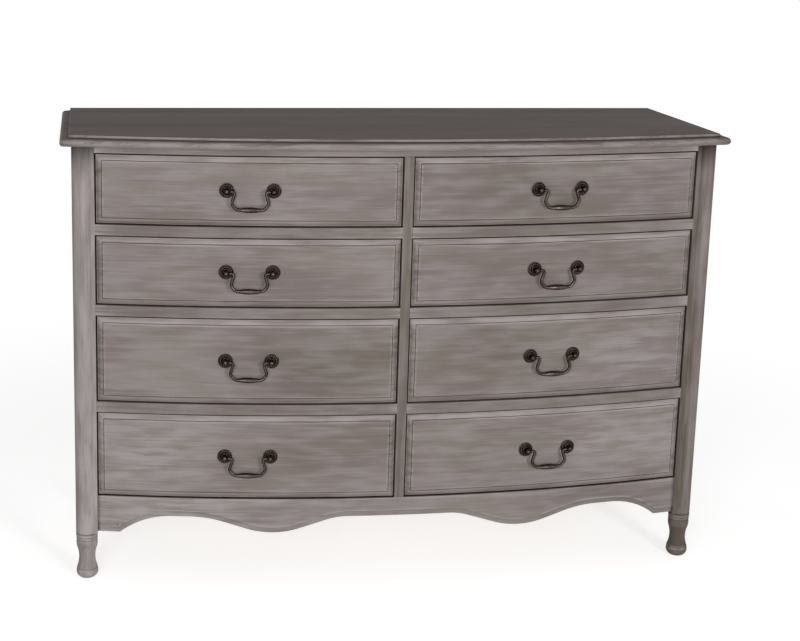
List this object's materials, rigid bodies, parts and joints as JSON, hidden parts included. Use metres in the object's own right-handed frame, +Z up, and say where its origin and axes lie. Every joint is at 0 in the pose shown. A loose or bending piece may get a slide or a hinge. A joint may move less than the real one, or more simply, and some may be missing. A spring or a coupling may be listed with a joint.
{
  "type": "dresser",
  "caption": "Bow-front wooden dresser with two columns of drawers, round corner columns on turned feet, a scalloped apron, a moulded top and swinging bail pulls",
  "frame": {"origin": "on the floor, under the middle of the whole dresser's outline", "axes": "+X to the right as one faces the drawers, +Y to the back, +Z up"},
  "size_m": [1.499, 0.5718, 1.016],
  "materials": {
    "washed_wood": "satin",
    "top_wood": "satin",
    "inner_wood": "matte",
    "drawer_wood": "matte",
    "antique_bronze": "satin"
  },
  "bodies": {
    "case": {"top_board": "top_wood", "front_post_left": "washed_wood", "front_post_right": "washed_wood", "rear_post_left": "washed_wood", "rear_post_right": "washed_wood", "side_panel_left": "washed_wood", "side_panel_right": "washed_wood", "side_rails": "washed_wood", "back_panel": "inner_wood", "back_rails": "inner_wood", "top_rail": "washed_wood", "divider_rails": "washed_wood", "centre_stile": "washed_wood", "bottom_rail": "inner_wood", "apron": "washed_wood", "centre_partition": "inner_wood", "drawer_runners": "inner_wood", "drawer_guides": "inner_wood", "top_cleats": "inner_wood", "case_bottom": "inner_wood"},
    "drawer_left_4": {"drawer_front_left_4": "washed_wood", "drawer_box_left_4": "drawer_wood", "drawer_bottom_left_4": "drawer_wood", "pull_mounts_left_4": "antique_bronze"},
    "bail_left_4": {"pull_bail_left_4": "antique_bronze"},
    "drawer_right_4": {"drawer_front_right_4": "washed_wood", "drawer_box_right_4": "drawer_wood", "drawer_bottom_right_4": "drawer_wood", "pull_mounts_right_4": "antique_bronze"},
    "bail_right_4": {"pull_bail_right_4": "antique_bronze"},
    "drawer_left_3": {"drawer_front_left_3": "washed_wood", "drawer_box_left_3": "drawer_wood", "drawer_bottom_left_3": "drawer_wood", "pull_mounts_left_3": "antique_bronze"},
    "bail_left_3": {"pull_bail_left_3": "antique_bronze"},
    "drawer_right_3": {"drawer_front_right_3": "washed_wood", "drawer_box_right_3": "drawer_wood", "drawer_bottom_right_3": "drawer_wood", "pull_mounts_right_3": "antique_bronze"},
    "bail_right_3": {"pull_bail_right_3": "antique_bronze"},
    "drawer_left_2": {"drawer_front_left_2": "washed_wood", "drawer_box_left_2": "drawer_wood", "drawer_bottom_left_2": "drawer_wood", "pull_mounts_left_2": "antique_bronze"},
    "bail_left_2": {"pull_bail_left_2": "antique_bronze"},
    "drawer_right_2": {"drawer_front_right_2": "washed_wood", "drawer_box_right_2": "drawer_wood", "drawer_bottom_right_2": "drawer_wood", "pull_mounts_right_2": "antique_bronze"},
    "bail_right_2": {"pull_bail_right_2": "antique_bronze"},
    "drawer_left_1": {"drawer_front_left_1": "washed_wood", "drawer_box_left_1": "drawer_wood", "drawer_bottom_left_1": "drawer_wood", "pull_mounts_left_1": "antique_bronze"},
    "bail_left_1": {"pull_bail_left_1": "antique_bronze"},
    "drawer_right_1": {"drawer_front_right_1": "washed_wood", "drawer_box_right_1": "drawer_wood", "drawer_bottom_right_1": "drawer_wood", "pull_mounts_right_1": "antique_bronze"},
    "bail_right_1": {"pull_bail_right_1": "antique_bronze"}
  },
  "joints": [
    {"name": "drawer_slide_left_4", "type": "slide", "parent": "case", "child": "drawer_left_4", "axis": [0, -1, 0], "range_m": [0, 0.33]},
    {"name": "bail_hinge_left_4", "type": "hinge", "parent": "drawer_left_4", "child": "bail_left_4", "pos_m": [-0.34496, -0.261, 0.3015], "axis": [-0.9946, 0.1041, 0], "range_deg": [-10, 100]},
    {"name": "drawer_slide_right_4", "type": "slide", "parent": "case", "child": "drawer_right_4", "axis": [0, -1, 0], "range_m": [0, 0.33]},
    {"name": "bail_hinge_right_4", "type": "hinge", "parent": "drawer_right_4", "child": "bail_right_4", "pos_m": [0.34496, -0.261, 0.3015], "axis": [-0.9946, -0.1041, 0], "range_deg": [-10, 100]},
    {"name": "drawer_slide_left_3", "type": "slide", "parent": "case", "child": "drawer_left_3", "axis": [0, -1, 0], "range_m": [0, 0.33]},
    {"name": "bail_hinge_left_3", "type": "hinge", "parent": "drawer_left_3", "child": "bail_left_3", "pos_m": [-0.34496, -0.261, 0.5225], "axis": [-0.9946, 0.1041, 0], "range_deg": [-10, 100]},
    {"name": "drawer_slide_right_3", "type": "slide", "parent": "case", "child": "drawer_right_3", "axis": [0, -1, 0], "range_m": [0, 0.33]},
    {"name": "bail_hinge_right_3", "type": "hinge", "parent": "drawer_right_3", "child": "bail_right_3", "pos_m": [0.34496, -0.261, 0.5225], "axis": [-0.9946, -0.1041, 0], "range_deg": [-10, 100]},
    {"name": "drawer_slide_left_2", "type": "slide", "parent": "case", "child": "drawer_left_2", "axis": [0, -1, 0], "range_m": [0, 0.33]},
    {"name": "bail_hinge_left_2", "type": "hinge", "parent": "drawer_left_2", "child": "bail_left_2", "pos_m": [-0.34496, -0.261, 0.723], "axis": [-0.9946, 0.1041, 0], "range_deg": [-10, 100]},
    {"name": "drawer_slide_right_2", "type": "slide", "parent": "case", "child": "drawer_right_2", "axis": [0, -1, 0], "range_m": [0, 0.33]},
    {"name": "bail_hinge_right_2", "type": "hinge", "parent": "drawer_right_2", "child": "bail_right_2", "pos_m": [0.34496, -0.261, 0.723], "axis": [-0.9946, -0.1041, 0], "range_deg": [-10, 100]},
    {"name": "drawer_slide_left_1", "type": "slide", "parent": "case", "child": "drawer_left_1", "axis": [0, -1, 0], "range_m": [0, 0.33]},
    {"name": "bail_hinge_left_1", "type": "hinge", "parent": "drawer_left_1", "child": "bail_left_1", "pos_m": [-0.34496, -0.261, 0.903], "axis": [-0.9946, 0.1041, 0], "range_deg": [-10, 100]},
    {"name": "drawer_slide_right_1", "type": "slide", "parent": "case", "child": "drawer_right_1", "axis": [0, -1, 0], "range_m": [0, 0.33]},
    {"name": "bail_hinge_right_1", "type": "hinge", "parent": "drawer_right_1", "child": "bail_right_1", "pos_m": [0.34496, -0.261, 0.903], "axis": [-0.9946, -0.1041, 0], "range_deg": [-10, 100]}
  ]
}
